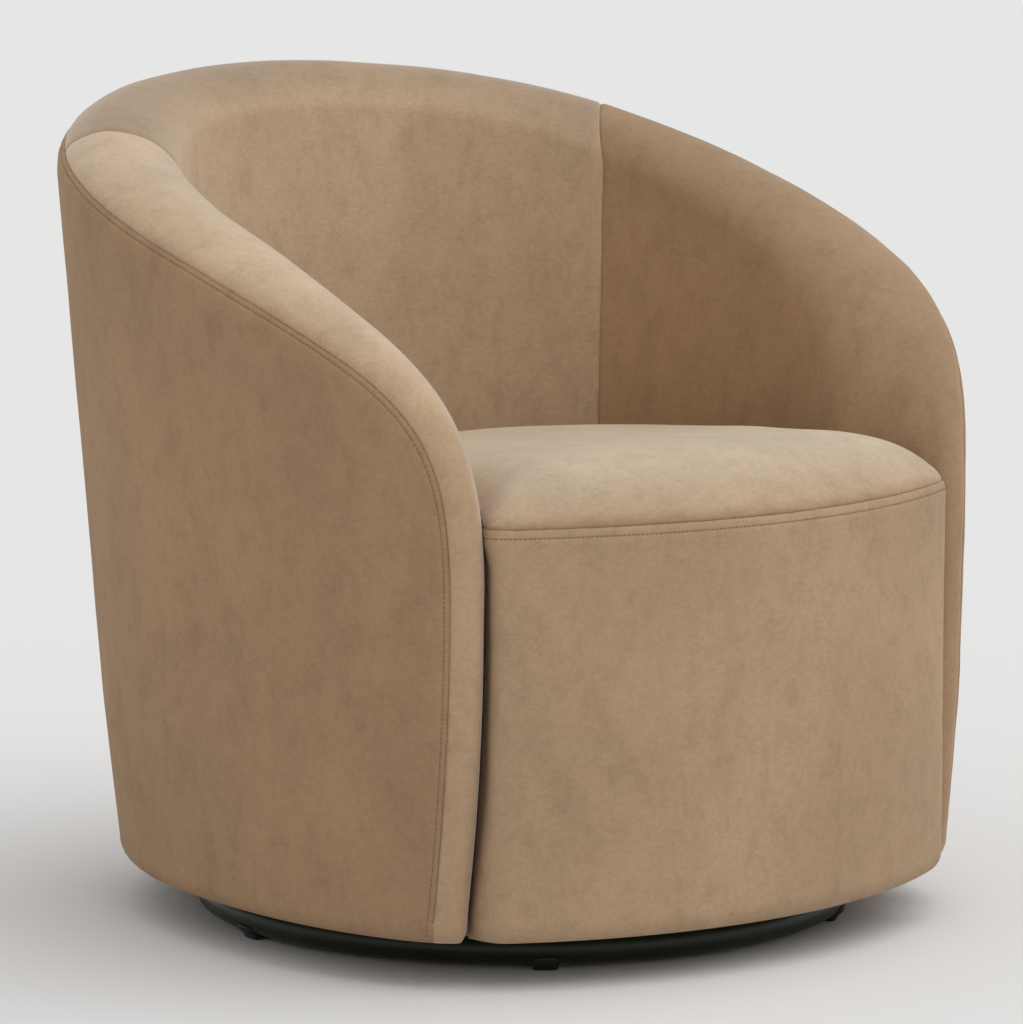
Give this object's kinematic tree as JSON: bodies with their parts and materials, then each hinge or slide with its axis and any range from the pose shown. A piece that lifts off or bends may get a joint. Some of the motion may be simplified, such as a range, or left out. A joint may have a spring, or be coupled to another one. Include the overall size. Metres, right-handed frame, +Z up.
{
  "type": "swivel armchair",
  "caption": "Upholstered barrel armchair with a high curved back, sloping arms and a drum-shaped seat on a low round swivel base.",
  "frame": {"origin": "on the floor, below the middle of the whole chair", "axes": "+Z up, the sitter faces -Y, +X is the sitter's left; the swivel axis is parallel to Z at x 0, y -0.042"},
  "size_m": [0.768, 0.8078, 0.757],
  "materials": {
    "velvet": "soft",
    "foam": "matte",
    "plywood": "matte",
    "timber": "matte",
    "dark_paint": "satin",
    "glide_plastic": "matte",
    "zinc": "satin",
    "spring_steel": "satin",
    "cage_nylon": "satin"
  },
  "bodies": {
    "base": {"base_ring": "dark_paint", "cross_bar_long": "dark_paint", "cross_bar_front": "dark_paint", "cross_bar_back": "dark_paint", "glide_1": "glide_plastic", "glide_2": "glide_plastic", "glide_3": "glide_plastic", "glide_4": "glide_plastic", "glide_5": "glide_plastic", "glide_6": "glide_plastic", "swivel_lower_plate": "zinc", "lower_plate_bolt_1": "zinc", "lower_plate_bolt_2": "zinc", "lower_plate_bolt_3": "zinc", "lower_plate_bolt_4": "zinc", "king_pin": "spring_steel"},
    "bearing_cage": {"ball_cage": "cage_nylon", "bearing_ball_1": "spring_steel", "bearing_ball_2": "spring_steel", "bearing_ball_3": "spring_steel", "bearing_ball_4": "spring_steel", "bearing_ball_5": "spring_steel", "bearing_ball_6": "spring_steel", "bearing_ball_7": "spring_steel", "bearing_ball_8": "spring_steel"},
    "chair": {"swivel_upper_plate": "zinc", "upper_plate_bolt_1": "zinc", "upper_plate_bolt_2": "zinc", "upper_plate_bolt_3": "zinc", "upper_plate_bolt_4": "zinc", "base_board": "velvet", "shell_board": "plywood", "back_post_left": "timber", "back_post_right": "timber", "arm_post_left": "timber", "arm_post_right": "timber", "seat_support_left": "plywood", "seat_support_right": "plywood", "seat_rail_front": "timber", "seat_rail_back": "timber", "seat_rail_left": "timber", "seat_rail_right": "timber", "seat_spring_1": "spring_steel", "seat_spring_2": "spring_steel", "seat_spring_3": "spring_steel", "seat_spring_4": "spring_steel", "front_panel": "plywood", "front_foam": "foam", "seat_foam": "foam", "back_foam": "foam", "arm_foam_left": "foam", "arm_foam_right": "foam", "outside_cover": "velvet", "inside_back_cover": "velvet", "inside_arm_cover_left": "velvet", "inside_arm_cover_right": "velvet", "seat_top_cover": "velvet", "front_band_cover": "velvet"}
  },
  "joints": [
    {"name": "swivel", "type": "hinge", "parent": "base", "child": "chair", "pos_m": [0, -0.042, 0.0343], "axis": [0, 0, 1], "continuous": true},
    {"name": "cage_turn", "type": "hinge", "parent": "base", "child": "bearing_cage", "pos_m": [0, -0.042, 0.0343], "axis": [0, 0, 1], "continuous": true}
  ],
  "couplings": [
    {"joint": "cage_turn", "follows": "swivel", "ratio": 0.5}
  ]
}
